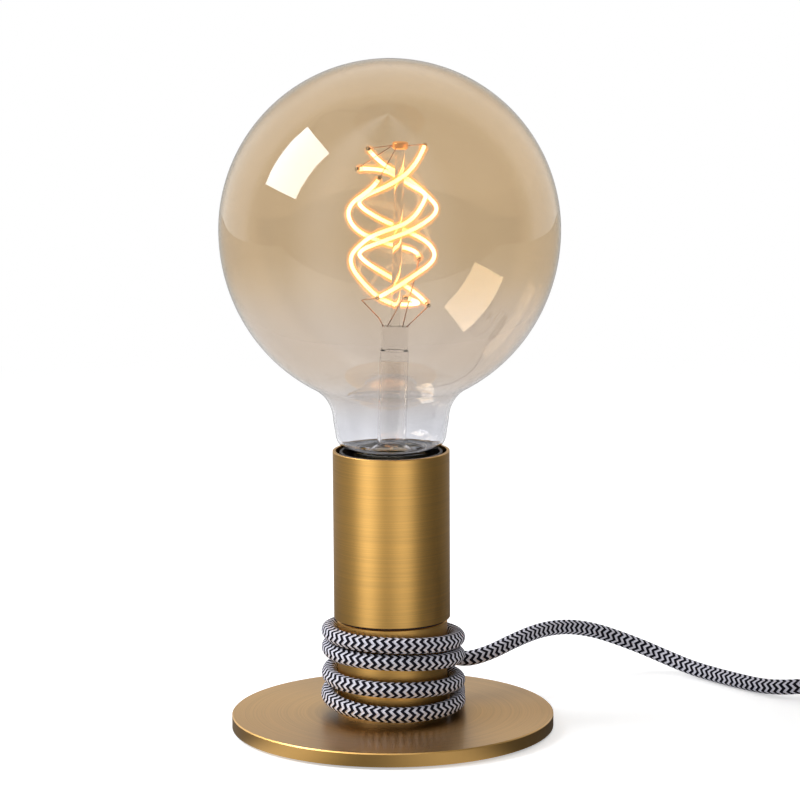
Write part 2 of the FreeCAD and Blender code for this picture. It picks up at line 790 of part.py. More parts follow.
def make_mount():
    tube_end = shoulder_z + press_bottom
    press_end = shoulder_z + press_top
    bore = mount_tube_radius - mount_tube_wall
    shell = turned(
        (flare_radius, flare_z),
        (mount_tube_radius, flare_z + flare_height),
        (mount_tube_radius, tube_end),
        (0, tube_end),
        (0, tube_end - press_root),
        (bore, tube_end - press_root),
        (bore, flare_z + flare_height),
        (flare_radius - mount_tube_wall, flare_z),
    )
    press = block(press_width, press_depth, tube_end, press_end)
    press = press.makeFillet(press_depth * round_share, uprights(press))
    export("glass_mount", leaned(shell.fuse(press).removeSplitter()))
    export("glass_rod", leaned(rod(glass_rod_radius, press_end, shoulder_z + glass_rod_top)))
    anchor_bottom = shoulder_z + glass_rod_top
    anchor_top = anchor_bottom + anchor_height
    anchor = rod(anchor_radius, anchor_bottom, anchor_top)
    rims = circles_at(anchor, anchor_bottom, anchor_radius) + circles_at(anchor, anchor_top, anchor_radius)
    export("filament_anchor", leaned(anchor.makeFillet(anchor_height * round_share, rims)))


def strand_point(strand, height):
    """A point of a strand's axis, at a height above the glass shoulder."""
    azimuth = strand["azimuth"] - strand["twist"] * (strand["top"] - height)
    return polar(strand["radius"], azimuth, shoulder_z + height)


def strand_cap(strand, height, onwards):
    """The two ends of the metal cap that carries a strand on past one of its ends."""
    end = strand_point(strand, height)
    way = (strand_point(strand, height + onwards * strand_radius) - end).normalize()
    return end, end + way * end_cap_length


def make_strand(name, strand):
    height = strand["top"] - strand["foot"]
    helix = Part.makeHelix(360 / strand["twist"], height, strand["radius"])
    rise = Vector(0, strand["radius"] * math.radians(strand["twist"]), 1)
    section = Part.Circle(Vector(strand["radius"], 0, 0), rise, strand_radius).toShape()
    solid = Part.Wire(helix.Edges).makePipeShell([Part.Wire(section)], True, True)
    solid = around(solid, strand["azimuth"] - strand["twist"] * height)
    solid.translate(Vector(0, 0, shoulder_z + strand["foot"]))
    export(name, leaned(solid))


def make_filament():
    """Four glowing strands hang from the anchor, and lead wires carry them from below."""
    caps, supports, feet = [], [], []
    hub = Vector(0, 0, shoulder_z + glass_rod_top + anchor_height / 2)
    for name, strand in STRANDS.items():
        make_strand(name, strand)
        start, tip = strand_cap(strand, strand["top"], 1)
        caps.append(leaned(bar(start, tip, end_cap_radius)))
        level = Vector(tip.x, tip.y, hub.z) - hub
        supports.append(leaned(bar(hub + level.normalize() * anchor_radius, tip, support_radius)))
        start, tip = strand_cap(strand, strand["foot"], -1)
        caps.append(leaned(bar(start, tip, end_cap_radius)))
        feet.append(tip)
    export("filament_end_caps", *caps)
    export("filament_supports", *supports)
    leads = []
    for place, tip in zip(lead_places, sorted(feet, key=lambda foot: foot.x)):
        leads.append(leaned(bar(Vector(place, 0, shoulder_z + press_top), tip, lead_radius)))
    export("lead_wires", *leads)


def make_driver():
    """The board that feeds the filament, with its parts below it, in the bulb's cap."""
    board_radius = cap_bore - seat_gap
    export("driver_board", rod(board_radius, board_z, board_z + driver_thickness))
    capacitor = rod(capacitor_radius, board_z - capacitor_length, board_z, -capacitor_offset)
    bridge = block(bridge_size, bridge_size, board_z - bridge_thickness, board_z, bridge_offset)
    choke = rod(choke_radius, board_z - choke_length, board_z, *choke_place)
    export("driver_parts", capacitor, bridge, choke)
    pin_top = cap_bottom + cap_insulator_height + cap_pin_proud
    feed = rod(driver_wire_radius, pin_top, board_z)
    edge = board_radius - 2 * driver_wire_radius
    top = board_z + driver_thickness
    to_shell = bar(Vector(edge, 0, top), Vector(edge, 0, top + driver_wire_rise), driver_wire_radius)
    export("driver_wires", feed, to_shell)


# --- cord -------------------------------------------------------------------------------------
def cord_path(points):
    """Straight runs joined by arcs that are as large as the runs allow, and the arcs' radii."""
    edges, radii, last = [], [], points[0]
    for before, corner, after in zip(points, points[1:], points[2:]):
        back, ahead = before - corner, after - corner
        reach = bend_share * min(back.Length, ahead.Length)
        half_turn = (math.pi - back.getAngle(ahead)) / 2
        radius = reach / math.tan(half_turn)
        back.normalize()
        ahead.normalize()
        start, end = corner + back * reach, corner + ahead * reach
        inwards = (back + ahead).normalize()
        middle = corner + inwards * (radius / math.cos(half_turn) - radius)
        edges += [line(last, start), arc(start, middle, end)]
        radii.append(radius)
        last = end
    edges.append(line(last, points[-1]))
    return Part.Wire(edges), radii


def make_tube(name, points, radius):
    """A plain tube along a route, with its length and its bends' radii printed to be read."""
    path, radii = cord_path(points)
    section = Part.Circle(points[0], points[1] - points[0], radius).toShape()
    solid = path.makePipeShell([Part.Wire(section)], True, False)
    share = solid.Volume / (math.pi * radius**2 * path.Length)
    bends = " ".join(f"{r:.0f}" for r in radii)
    print(f"{name}: length {path.Length:.0f}, volume share {share:.4f}, radii {bends}")
    export(name, solid)


# Leaves the outlet, swings round behind the stem on the disc and settles against the stem at the
# right as the lowest turn.
CORD_OUT = [
    (-10.32, 18.55, 10.6),
    (-10.98, 26.12, 10.6),
    (-7.9, 33.8, 10.0),
    (-1.8, 39.2, 9.2),
    (6.2, 41.3, 8.9),
    (14.2, 39.6, 8.9),
    (20.6, 34.5, 9.0),
    (24.0, 27.0, 9.2),
    (24.6, 18.0, 9.5),
    (24.2, 9.0, 9.9),
    (24.3, 1.0, 10.4),
    (22.9, -6.1, 11.0),
]

# From the end of the top turn, down behind the stem, over the edge of the disc to the table,
# round a wide bend and out to the right, where the inline switch lies.
CORD_FREE = [
    (-20.5, 11.8, 36.9),
    (-15.0, 21.0, 36.0),
    (-5.5, 28.5, 32.6),
    (5.5, 32.3, 27.0),
    (16.5, 32.4, 20.4),
    (27.0, 33.2, 16.8),
    (37.0, 38.4, 18.2),
    (47.5, 48.6, 21.0),
    (58.0, 60.5, 22.2),
    (68.5, 70.0, 21.2),
    (79.0, 76.8, 18.2),
    (89.5, 80.0, 14.0),
    (100.0, 80.0, 9.8),
    (109.5, 76.6, 6.2),
    (118.0, 70.8, 3.8),
    (126.0, 63.2, 3.0),
    (134.0, 53.6, 3.0),
    (143.0, 43.6, 3.1),
    (152.5, 36.0, 4.6),
    (163.0, 33.0, 6.4),
    (175.0, 33.0, 6.4),
]

# From the switch, round a half turn and into the back of the coil.
CORD_TAIL = [
    (229.0, 33.0, 6.4),
    (241.0, 33.0, 6.4),
    (256.0, 29.0, 4.8),
    (264.0, 16.0, 3.6),
    (259.0, 2.0, 3.5),
    (244.0, -4.5, 3.5),
    (226.0, -4.6, 3.5),
    (209.0, -3.4, 3.5),
]

# Out of the front of the coil and into the plug's strain relief.
CORD_TO_PLUG = [
    (197.0, -73.2, 9.2),
    (207.0, -73.9, 8.4),
    (214.0, -74.0, 6.85),
    (220.0, -74.0, 6.85),
]


def make_cords():
    inside = [along_cord(sheath_depth), along_cord(-grommet_proud)]
    make_tube("cord_inside", inside, cord_radius)
    routes = {
        "cord_out": CORD_OUT,
        "cord_free": CORD_FREE,
        "cord_tail": CORD_TAIL,
        "cord_to_plug": CORD_TO_PLUG,
    }
    for name, route in routes.items():
        make_tube(name, [Vector(*point) for point in route], cord_radius)


# The two cores from the sheath's cut end up through the pipe to the terminals: x and y of their
# middle line, its height, and half the distance between them along X.
CORE_ROUTE = [
    (-8.0, -10.6, 15.0, 1.6),
    (-6.3, -10.0, 20.0, 1.6),
    (-3.3, -6.2, 24.6, 1.6),
    (-0.7, -1.8, 29.2, 1.6),
    (0.0, 0.3, 35.5, 1.6),
    (0.0, -0.3, 43.0, 1.6),
    (0.0, 0.3, 50.5, 1.6),
    (0.0, 0.9, 55.6, 2.9),
    (0.0, 1.7, 58.9, 6.4),
    (0.0, 2.4, 61.6, 9.8),
    (0.0, 2.4, 66.6, 9.8),
]


def make_wires():
    for name, side in (("wire_live", -1), ("wire_neutral", 1)):
        lane = -side * core_spacing / 2
        points = [along_cord(sheath_depth, lane), along_cord(sheath_depth + core_straight, lane)]
        points += [Vector(x + side * half, y, z) for x, y, z, half in CORE_ROUTE]
        make_tube(name, points, core_radius)


def make_winding():
    """Four turns on the stem, as one solid of their outer shape."""
    axis = winding_bore + cord_radius
    centres = [base_top + height for height in wound_heights]
    solid = ring(winding_bore + wound_web, winding_bore, centres[0], centres[-1])
    for z in centres:
        solid = solid.fuse(Part.makeTorus(axis, cord_radius, Vector(0, 0, z)))
    solid = solid.cut(rod(winding_bore, 0, tube_top))
    notch_top = (centres[0] + centres[1]) / 2
    sweep = wound_lift - wound_start
    notch = Part.makeCylinder(base_radius, notch_top, Vector(0, 0, 0), Vector(0, 0, 1), sweep)
    export("cord_winding", solid.cut(around(notch, wound_start)).removeSplitter())


def make_coil():
    """The put-away length, as one solid of the coil's outer shape, and the tie round it."""
    outer, inner = coil_radius + 2 * cord_radius, coil_radius - 2 * cord_radius
    bottom, top = tie_thickness, tie_thickness + 4 * cord_radius
    coil = ring(outer, inner, bottom, top, coil_centre.x, coil_centre.y)
    rims = [e for e in coil.Edges if isinstance(e.Curve, Part.Circle)]
    export("cord_coil", coil.makeFillet(coil_round, rims))
    middle = coil_centre.x + coil_radius
    room = outer - inner + 4 * seat_gap
    roof = top + seat_gap
    band = block(room + 2 * tie_thickness, tie_width, 0, roof + tie_thickness, middle, coil_centre.y)
    hollow = block(room, tie_width, tie_thickness, roof, middle, coil_centre.y)
    export("coil_tie", band.cut(hollow))


# --- inline switch ----------------------------------------------------------------------------
def switch_blank(bottom, top, inset=0.0):
    """The plan of the switch, a long box with round corners, between two heights."""
    length, width = switch_length - 2 * inset, switch_width - 2 * inset
    body = block(length, width, bottom, top, switch_middle.x, switch_middle.y)
    return body.makeFillet(switch_corner - inset, uprights(body))


def pin_bar(half, radius):
    """A bar across the switch on the rocker's axis."""
    middle = Vector(switch_middle.x, switch_middle.y, rocker_pin_z)
    return bar(middle - Vector(0, half, 0), middle + Vector(0, half, 0), radius)


def switch_screw_places():
    places = []
    for side in (-1, 1):
        x = switch_middle.x + side * switch_screw_offset
        places.append((x, switch_middle.y + side * (switch_width / 2 - switch_screw_inset)))
    return places


def make_switch():
    """Two shells screwed together, a rocker on a pin in the upper one, contacts in the lower one."""
    split = switch_lower_height
    entry = bar(
        switch_start - Vector(switch_wall, 0, 0),
        switch_start + Vector(switch_length + switch_wall, 0, 0),
        cord_radius + slip_gap,
    )
    lower = switch_blank(0, split)
    lower = lower.makeFillet(switch_foot_round, edges_level(lower, 0))
    lower = lower.cut(switch_blank(switch_wall, split, switch_wall)).cut(entry)
    upper = switch_blank(split, switch_top)
    upper = upper.makeFillet(switch_top_round, edges_level(upper, switch_top))
    upper = upper.cut(switch_blank(split, switch_top - switch_wall, switch_wall)).cut(entry)

    window_length, window_width = rocker_length + 6 * seat_gap, rocker_width + 2 * seat_gap
    window = block(window_length, window_width, split, switch_top, switch_middle.x, switch_middle.y)
    upper = upper.cut(window)
    lug_bottom = rocker_pin_z - rocker_pin_radius - rocker_pin_wall
    lug_top = switch_top - switch_wall / 2
    for side in (-1, 1):
        y = switch_middle.y + side * (window_width + rocker_lug_width) / 2
        lug = block(rocker_lug_length, rocker_lug_width, lug_bottom, lug_top, switch_middle.x, y)
        upper = upper.fuse(lug)
    pin_half = window_width / 2 + rocker_lug_width - screw_gap
    upper = upper.cut(pin_bar(pin_half + screw_gap, rocker_pin_radius + screw_gap))

    screws = []
    for x, y in switch_screw_places():
        head_top = switch_screw_depth + switch_screw_head_height
        hole = rod(switch_screw_radius + screw_gap, 0, split + switch_screw_bite + screw_gap, x, y)
        sink = rod(switch_screw_head + screw_gap, 0, head_top, x, y)
        lower = lower.fuse(rod(switch_post_radius, switch_wall / 2, split, x, y)).cut(hole).cut(sink)
        upper = upper.fuse(rod(switch_post_radius, split, switch_top - switch_wall / 2, x, y)).cut(hole)
        shank = rod(switch_screw_radius, head_top, split + switch_screw_bite, x, y)
        screws.append(shank.fuse(rod(switch_screw_head, switch_screw_depth, head_top, x, y)))
    export("switch_lower", lower.removeSplitter())
    export("switch_upper", upper.removeSplitter())
    export("rocker_pin", pin_bar(pin_half, rocker_pin_radius))
    export("switch_screws", *screws)

    contacts = []
    contact_top = switch_wall + switch_contact_height
    for side in (-1, 1):
        x = switch_middle.x + side * switch_contact_offset
        length, width = switch_contact_length, switch_contact_width
        contacts.append(block(length, width, switch_wall, contact_top, x, switch_middle.y))
    export("switch_contacts", *contacts)


def make_rocker():
    """A dished rocker, pressed down at its right end."""
    half, shallow = rocker_length / 2, rocker_flat
    heel_z = -rocker_pin_radius - rocker_pin_wall
    profile = [
        Vector(-half, 0, rocker_axis_drop - rocker_skirt),
        Vector(-half, 0, rocker_axis_drop + rocker_crown),
        Vector(-shallow, 0, rocker_axis_drop + rocker_dip),
        Vector(shallow, 0, rocker_axis_drop + rocker_dip),
        Vector(half, 0, rocker_axis_drop + rocker_crown),
        Vector(half, 0, rocker_axis_drop - rocker_skirt),
        Vector(rocker_heel, 0, heel_z),
        Vector(-rocker_heel, 0, heel_z),
    ]
    rocker = prism(profile, Vector(0, rocker_width, 0))
    top_edges = [e for e in rocker.Edges if e.BoundBox.ZMin > rocker_axis_drop + rocker_dip / 2]
    rocker = rocker.makeFillet(rocker_round, top_edges)
    rocker.translate(Vector(0, -rocker_width / 2, 0))
    rocker.rotate(Vector(0, 0, 0), Vector(0, 1, 0), rocker_tilt)
    rocker.translate(Vector(switch_middle.x, switch_middle.y, rocker_pin_z))
    export("switch_rocker", rocker.cut(pin_bar(rocker_width, rocker_pin_radius + screw_gap)))


# --- plug -------------------------------------------------------------------------------------
def make_plug():
    """A flat two-pin plug of moulded plastic."""
    half, neck = plug_width / 2, plug_neck_width / 2
    start, broad, face = plug_start.x, plug_start.x + plug_taper, plug_start.x + plug_length
    corners = [(start, -neck), (broad, -half), (face, -half), (face, half), (broad, half), (start, neck)]
    body = prism([Vector(x, plug_start.y + y, 0) for x, y in corners], Vector(0, 0, plug_thickness))
    body = body.makeFillet(plug_corner, uprights(body))
    body = body.makeFillet(plug_round, edges_level(body, 0) + edges_level(body, plug_thickness))
    pins, sleeves = [], []
    for side in (-1, 1):
        foot = Vector(face, plug_start.y + side * pin_spacing / 2, plug_start.z)
        root, shoulder, tip, start = [
            foot + Vector(reach, 0, 0) for reach in (-pin_root, sleeve_length, pin_length, -sleeve_root)
        ]
        body = body.cut(bar(root, foot, pin_neck_radius + screw_gap))
        body = body.cut(bar(start, foot, sleeve_radius + screw_gap))
        metal = bar(shoulder, tip, pin_radius)
        end = [e for e in metal.Edges if isinstance(e.Curve, Part.Circle) and e.Curve.Center.x > tip.x - 1e-6]
        metal = metal.makeFillet(pin_round, end)
        pins.append(metal.fuse(bar(root, shoulder, pin_neck_radius)).removeSplitter())
        bore = bar(start, shoulder, pin_neck_radius + screw_gap)
        sleeves.append(bar(start, shoulder, sleeve_radius).cut(bore))
    export("plug_body", body)
    export("plug_pins", *pins)
    export("pin_sleeves", *sleeves)


def make_relief():
    """The soft ribbed sleeve that the cord goes through into the plug."""
    start = plug_start - Vector(relief_length, 0, 0)
    relief = Part.makeCone(relief_tip_radius, relief_root_radius, relief_length, start, Vector(1, 0, 0))
    step = relief_length / (relief_grooves + 1)
    slope = (relief_root_radius - relief_tip_radius) / relief_length
    for k in range(relief_grooves):
        place = start + Vector(step * (k + 1) - relief_groove_width / 2, 0, 0)
        end = place + Vector(relief_groove_width, 0, 0)
        core = relief_tip_radius + slope * step * (k + 1) - relief_groove_depth
        relief = relief.cut(bar(place, end, 2 * relief_root_radius).cut(bar(place, end, core)))
    bore = bar(start, start + Vector(cord_entry + slip_gap, 0, 0), cord_radius + slip_gap)
    export("plug_relief", relief.cut(bore))


make_base()
make_stem()
make_grommet()
make_cord_clamp()
make_spacer()
make_lamp_tube()
make_threaded_pipe()
make_holder_shells()
make_holder_insert()
make_terminals()
make_holder_contacts()
make_threaded_shell()
make_cap_shell()
make_cap_insulator()
make_cap_contact()
make_globe()
make_mount()
make_filament()
make_driver()
make_winding()
make_cords()
make_wires()
make_coil()
make_switch()
make_rocker()
make_plug()
make_relief()
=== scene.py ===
import math

import bmesh
import bpy
from mathutils import Matrix, Vector


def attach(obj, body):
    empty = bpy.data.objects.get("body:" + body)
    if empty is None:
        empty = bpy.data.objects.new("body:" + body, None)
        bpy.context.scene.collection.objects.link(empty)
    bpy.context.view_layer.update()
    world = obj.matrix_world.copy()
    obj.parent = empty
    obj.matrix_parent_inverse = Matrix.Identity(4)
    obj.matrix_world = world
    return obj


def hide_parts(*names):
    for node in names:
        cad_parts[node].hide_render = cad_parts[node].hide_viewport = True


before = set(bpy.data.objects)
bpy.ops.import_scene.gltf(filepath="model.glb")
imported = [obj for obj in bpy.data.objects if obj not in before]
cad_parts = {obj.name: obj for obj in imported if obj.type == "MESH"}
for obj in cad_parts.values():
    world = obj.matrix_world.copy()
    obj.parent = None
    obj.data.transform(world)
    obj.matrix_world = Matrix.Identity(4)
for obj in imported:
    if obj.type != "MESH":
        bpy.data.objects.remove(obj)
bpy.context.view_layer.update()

# --- Base disc -----------------------------------------------------------------------------------
# The heavy foot of the lamp: a turned brass disc, brushed in rings on the lathe and lacquered,
# with a thin black rubber pad under it and three screws up into the stem.


class Signal:
    """One output of a node. Arithmetic on it adds Math nodes to its tree."""

    def __init__(self, socket):
        self.socket = socket

    def math(self, operation, *others):
        tree = self.socket.id_data
        node = tree.nodes.new("ShaderNodeMath")
        node.operation = operation
        for place, value in zip(node.inputs, (self, *others)):
            if isinstance(value, Signal):
                tree.links.new(value.socket, place)
            else:
                place.default_value = value
        return Signal(node.outputs[0])

    def __add__(self, other):
        return self.math("ADD", other)

    def __sub__(self, other):
        return self.math("SUBTRACT", other)

    def __mul__(self, other):
        return self.math("MULTIPLY", other)

    def __truediv__(self, other):
        return self.math("DIVIDE", other)

    def __rsub__(self, other):
        return self * -1 + other

    def __abs__(self):
        return self.math("ABSOLUTE")

    __radd__ = __add__
    __rmul__ = __mul__

    def part(self):
        """What is left of it past the last whole number."""
        return self.math("FRACT")

    def step(self, low, high):
        """0 below low, 1 above high, and a smooth rise between them."""
        node = self.socket.id_data.nodes.new("ShaderNodeMapRange")
        node.interpolation_type = "SMOOTHSTEP"
        self.socket.id_data.links.new(self.socket, node.inputs["Value"])
        node.inputs["From Min"].default_value = low
        node.inputs["From Max"].default_value = high
        return Signal(node.outputs["Result"])


class Finish:
    """A material in the making, or the world. Keywords set the sockets of its main shader."""

    def __init__(self, name, shader="Principled BSDF", kind=bpy.data.materials, **sockets):
        self.material = kind.new(name)
        self.material.use_nodes = True
        self.tree = self.material.node_tree
        self.shader = self.tree.nodes[shader]
        self.set(**sockets)

    def plug(self, socket, value):
        if isinstance(value, Signal):
            self.tree.links.new(value.socket, socket)
        elif socket.type == "RGBA":
            socket.default_value = (*value, 1.0)
        else:
            socket.default_value = value

    def set(self, **sockets):
        for name, value in sockets.items():
            self.plug(self.shader.inputs[name.replace("_", " ")], value)

    def add(self, kind, settings=None, output=0, **sockets):
        """A node of any kind: first its settings, then the values or links of its sockets."""
        node = self.tree.nodes.new("ShaderNode" + kind)
        for name, value in (settings or {}).items():
            setattr(node, name, value)
        for name, value in sockets.items():
            self.plug(node.inputs[name.replace("_", " ")], value)
        return Signal(node.outputs[output])

    def blend(self, share, a, b):
        """From colour a to colour b."""
        node = self.tree.nodes.new("ShaderNodeMix")
        node.data_type = "RGBA"
        self.plug(node.inputs[0], share)
        self.plug(node.inputs[6], a)
        self.plug(node.inputs[7], b)
        return Signal(node.outputs[2])

    def either(self, share, first, second):
        """From one shader to another."""
        node = self.tree.nodes.new("ShaderNodeMixShader")
        for place, value in zip(node.inputs, (share, first, second)):
            self.plug(place, value)
        return Signal(node.outputs[0])

    def place(self):
        """The point on the piece, in metres."""
        return self.add("TexCoord", output="Object")

    def raise_by(self, height, distance, strength=1.0):
        """Bump from a height of 0 to 1, of that depth in metres."""
        bump = self.add("Bump", Height=height, Distance=distance, Strength=strength)
        self.set(Normal=bump)


def dress(material, *names):
    """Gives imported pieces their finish."""
    for name in names:
        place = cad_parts[name].material_slots[0]
        place.link = "OBJECT"
        place.material = material


BRASS = (0.80, 0.455, 0.12)
BRASS_WORN = (0.62, 0.36, 0.105)
# Painted shade: brass under and round the wound flex is painted this darker colour.
BRASS_PAINTED_SHADE = (0.36, 0.22, 0.08)


def brushed_brass(name, radial, roughness, anisotropy, painted_shade=(0.0, 0.001)):
    """Brushed brass. The brushing runs round the piece's axis; radial is for a flat face.

    Near the flex it has painted shade: darker below a height, or inside a radius on a flat face.
    """
    finish = Finish(name, Metallic=1.0, Anisotropic=anisotropy, IOR=1.5)
    finish.set(Coat_Weight=0.7 if radial else 0.25, Coat_Roughness=0.22, Coat_IOR=1.5)
    x, y, z = (
        finish.add("SeparateXYZ", output=axis, Vector=finish.place()) for axis in "XYZ"
    )
    across = (x * x + y * y).math("SQRT") if radial else z
    line = finish.add("CombineXYZ", X=across * 2800, Y=x * 14, Z=y * 14)
    fine = finish.add("TexNoise", Vector=line, Scale=1.0, Detail=3.0, Roughness=0.6)
    broad = finish.add("TexNoise", Vector=finish.place(), Scale=38.0, Detail=3.0)
    finish.set(
        Base_Color=finish.blend(
            across.step(*painted_shade),
            BRASS_PAINTED_SHADE,
            finish.blend(fine.step(0.30, 0.70) * 0.65 + broad * 0.2, BRASS, BRASS_WORN),
        ),
        Roughness=fine * 0.10 + broad * 0.06 + roughness,
    )
    finish.raise_by(fine, 0.000012)
    return finish.material


# The disc is painted darker round the stem: painted shade under the wound flex.
dress(brushed_brass("brass disc", True, 0.27, 0.5, painted_shade=(0.020, 0.034)), "base_plate")

rubber = Finish("black rubber", Base_Color=(0.018, 0.018, 0.020), Roughness=0.8)
rubber.raise_by(rubber.add("TexNoise", Vector=rubber.place(), Scale=900.0), 0.00006)
dress(rubber.material, "base_pad", "stem_grommet")

zinc = Finish("zinc plated steel", Base_Color=(0.62, 0.62, 0.60), Metallic=1.0)
zinc.set(Roughness=zinc.add("TexNoise", Vector=zinc.place(), Scale=300.0) * 0.2 + 0.22)
dress(
    zinc.material,
    "base_screws",
    "cord_clamp_screws",
    "threaded_pipe",
    "pipe_washer",
    "pipe_nut",
    "holder_lock_screw",
    "terminal_screws",
    "switch_screws",
    "rocker_pin",
)

# --- Stem, spacer and lamp tube ------------------------------------------------------------------
# A thick brass stub that the flex is wound on, a spacer disc and the brass tube that hides the
# lampholder. The spacer's black is painted shade for the dark gap under the tube. All three are
# clamped by one threaded pipe.
# The stem is painted darker at its foot: painted shade under the wound flex.
dress(brushed_brass("brass stem", False, 0.30, 0.5, painted_shade=(0.006, 0.014)), "stem")
dress(brushed_brass("brass tube", False, 0.25, 0.6), "lamp_tube")

# The spacer sits back in a groove, so its gap is shaded; its black colour is painted shade as well.
fibre = Finish("spacer black as painted shade", Base_Color=(0.015, 0.014, 0.013), Roughness=0.85)
fibre.raise_by(fibre.add("TexNoise", Vector=fibre.place(), Scale=1400.0), 0.00005)
dress(fibre.material, "spacer_disc")

nylon = Finish("nylon", Base_Color=(0.72, 0.71, 0.66), Roughness=0.45)
nylon.raise_by(nylon.add("TexNoise", Vector=nylon.place(), Scale=700.0), 0.00003)
dress(nylon.material, "cord_clamp_bridge", "cord_clamp_saddle")

# --- Lampholder ----------------------------------------------------------------------------------
# A moulded black holder with a white porcelain insert, a rolled brass thread and sprung contacts.
# Only the rim of its skirt shows, inside the top of the tube.
moulding = Finish("black moulding", Base_Color=(0.02, 0.02, 0.022), Roughness=0.42)
moulding.raise_by(moulding.add("TexNoise", Vector=moulding.place(), Scale=1600.0), 0.00003)
dress(moulding.material, "holder_base", "holder_skirt")

porcelain = Finish("porcelain", Base_Color=(0.83, 0.82, 0.78), Roughness=0.18, Coat_Weight=0.5)
dress(porcelain.material, "holder_insert")

strip = Finish("stamped brass", Base_Color=(0.74, 0.53, 0.24), Metallic=1.0)
strip.set(Roughness=strip.add("TexNoise", Vector=strip.place(), Scale=240.0) * 0.25 + 0.2)
dress(
    strip.material,
    "terminal_blocks",
    "centre_contact",
    "side_contact",
    "threaded_shell",
    "switch_contacts",
)

# --- Bulb ----------------------------------------------------------------------------------------
# A blown globe with a faint amber mirror coat, on a rolled cap with a screw thread. Inside stand a
# glass mount, a glass rod and four glowing strands that hang from a puck at the rod's top.
rolled = Finish("rolled nickel", Base_Color=(0.72, 0.66, 0.50), Metallic=1.0, Roughness=0.25)
dress(rolled.material, "cap_shell")
solder = Finish("solder", Base_Color=(0.62, 0.61, 0.58), Metallic=1.0, Roughness=0.35)
dress(solder.material, "cap_contact", "driver_wires")
fused = Finish("black glass", Base_Color=(0.01, 0.01, 0.012), Roughness=0.08)
dress(fused.material, "cap_insulator")
cement = Finish("cement", Base_Color=(0.62, 0.56, 0.45), Roughness=0.9)
dress(cement.material, "cap_cement")
board = Finish("circuit board", Base_Color=(0.05, 0.17, 0.09), Roughness=0.35)
dress(board.material, "driver_board")
parts_black = Finish("driver parts", Base_Color=(0.03, 0.03, 0.03), Roughness=0.4)
dress(parts_black.material, "driver_parts")

SHOULDER = 0.105
GLOBE_HEIGHT = 0.1864
GLOBE_RADIUS = 0.0625
GLOBE_STRETCH = 0.0025
GLASS_WALL = 0.0008


def turned_piece(name, outline, around=128):
    """The closed form that an outline of (radius, height) pairs sweeps about the lamp's axis."""
    form = bmesh.new()
    points = [form.verts.new((radius, 0, height)) for radius, height in outline]
    edges = [form.edges.new(pair) for pair in zip(points, points[1:] + points[:1])]
    bmesh.ops.spin(
        form,
        geom=points + edges,
        axis=(0, 0, 1),
        cent=(0, 0, 0),
        angle=math.tau,
        steps=around,
        use_merge=True,
    )
    bmesh.ops.remove_doubles(form, verts=form.verts, dist=1e-6)
    bmesh.ops.recalc_face_normals(form, faces=form.faces)
    return as_piece(name, form)


def as_piece(name, form, smooth=True):
    """Turns the bmesh into an object of the scene."""
    mesh = bpy.data.meshes.new(name)
    form.to_mesh(mesh)
    form.free()
    for face in mesh.polygons:
        face.use_smooth = smooth
    piece = bpy.data.objects.new(name, mesh)
    bpy.context.scene.collection.objects.link(piece)
    return piece


def bend(centre_r, centre_z, reach_r, reach_z, start, end, steps):
    """Points along part of a circle or an ellipse, from one angle to another in degrees."""
    found = []
    for k in range(steps + 1):
        angle = math.radians(start + (end - start) * k / steps)
        found.append((centre_r + reach_r * math.cos(angle), centre_z + reach_z * math.sin(angle)))
    return found


def globe_line(skin):
    """Half the globe's outline from its crown to its mouth, a skin inside its outer face."""
    ball = GLOBE_RADIUS - skin
    drop = GLOBE_RADIUS + GLOBE_STRETCH - skin
    line = bend(0, GLOBE_HEIGHT, ball, ball, 89.9, 0, 40)
    line += bend(0, GLOBE_HEIGHT, ball, drop, 0, -62.69, 28)[1:]
    line += bend(0.0353, 0.116312, 0.014 + skin, 0.014 + skin, 118.24, 180, 10)[1:]
    line += bend(0.014, 0.1115, 0.0065 - skin, 0.0065 - skin, 0, -90, 8)
    line += [(0.0125 - skin, line[-1][1]), (0.0125 - skin, 0.1014)]
    return line


globe = turned_piece("blown_globe", globe_line(0.0) + globe_line(GLASS_WALL)[::-1], 160)
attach(globe, "bulb")
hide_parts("globe")

amber = Finish("amber coated glass", Transmission_Weight=1.0, IOR=1.48, Roughness=0.0)
height = amber.add("SeparateXYZ", output="Z", Vector=amber.place())
amber.set(
    Base_Color=amber.blend(
        height.step(0.150, 0.176),
        amber.blend(height.step(0.112, 0.140), (0.79, 0.79, 0.815), (0.79, 0.72, 0.65)),
        (0.76, 0.645, 0.49),
    )
)
globe.data.materials.append(amber.material)

clear = Finish("clear glass", Base_Color=(0.96, 0.95, 0.94), Transmission_Weight=1.0)
clear.set(IOR=1.5, Roughness=0.02)
dress(clear.material, "glass_mount", "glass_rod")


def smooth_line(points):
    """The places along the smooth line of a spline that has these control points."""
    curve = bpy.data.curves.new("line", "CURVE")
    curve.dimensions = "3D"
    curve.resolution_u = 10
    spline = curve.splines.new("NURBS")
    spline.points.add(len(points) - 1)
    for point, place in zip(spline.points, points):
        point.co = (*place, 1.0)
    spline.order_u = 3
    spline.use_endpoint_u = True
    bent = bpy.data.objects.new("line", curve)
    mesh = bpy.data.meshes.new_from_object(bent)
    places = [vertex.co.copy() for vertex in mesh.vertices]
    bpy.data.objects.remove(bent)
    return places


def even_line(places, step):
    """The same line with its places one step apart."""
    length = sum((b - a).length for a, b in zip(places, places[1:]))
    count = round(length / step)
    found, walked, k = [places[0]], 0.0, 0
    for n in range(1, count):
        target = length * n / count
        while walked + (places[k + 1] - places[k]).length < target:
            walked += (places[k + 1] - places[k]).length
            k += 1
        run = places[k + 1] - places[k]
        found.append(places[k] + run * ((target - walked) / run.length))
    return found + [places[-1]]


